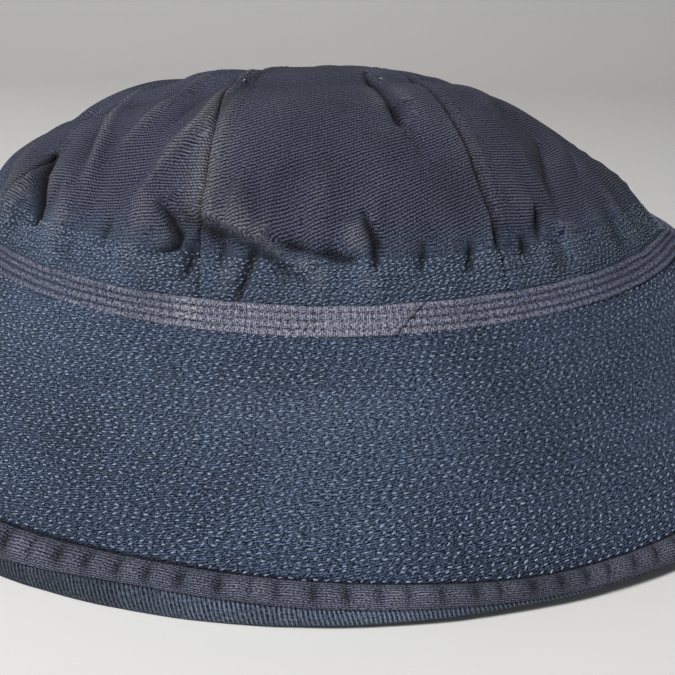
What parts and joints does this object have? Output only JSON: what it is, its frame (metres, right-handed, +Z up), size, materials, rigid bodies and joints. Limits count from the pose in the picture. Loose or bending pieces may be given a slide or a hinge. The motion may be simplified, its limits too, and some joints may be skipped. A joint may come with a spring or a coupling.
{
  "type": "stitched-brim sun hat",
  "caption": "Soft cotton sun hat with a gored slumped crown, a flat band over the crown joint and a steep quilted brim with a bound edge.",
  "frame": {"origin": "under the middle of the head opening, on the plane that the brim's edge rests on", "axes": "+Z up through the crown, X along the wearer's long head axis, -Y towards the side where the band's ends overlap"},
  "size_m": [0.304, 0.27, 0.0992],
  "materials": {
    "crown_twill": "faded charcoal cotton twill, worn paler on the folds",
    "sweatband_cloth": "dark cotton twill, stitched in rows",
    "band_tape": "faded purple-grey cotton tape with rows of stitching",
    "brim_twill": "navy cotton twill, densely quilted with pale blue-grey thread",
    "interlining_canvas": "plain unbleached stiffening canvas, hidden inside the brim",
    "binding_twill": "faded grey bias-cut twill",
    "hem_twill": "dark teal-navy twill"
  },
  "bodies": {
    "root": {"crown_panel_1": "crown_twill", "crown_panel_2": "crown_twill", "crown_panel_3": "crown_twill", "crown_panel_4": "crown_twill", "crown_panel_5": "crown_twill", "crown_panel_6": "crown_twill", "crown_panel_7": "crown_twill", "crown_panel_8": "crown_twill", "sweatband": "sweatband_cloth", "hat_band": "band_tape", "brim_top_near": "brim_twill", "brim_top_far": "brim_twill", "brim_interlining": "interlining_canvas", "brim_under_near": "brim_twill", "brim_under_far": "brim_twill", "brim_binding": "binding_twill", "brim_hem": "hem_twill"}
  },
  "joints": []
}
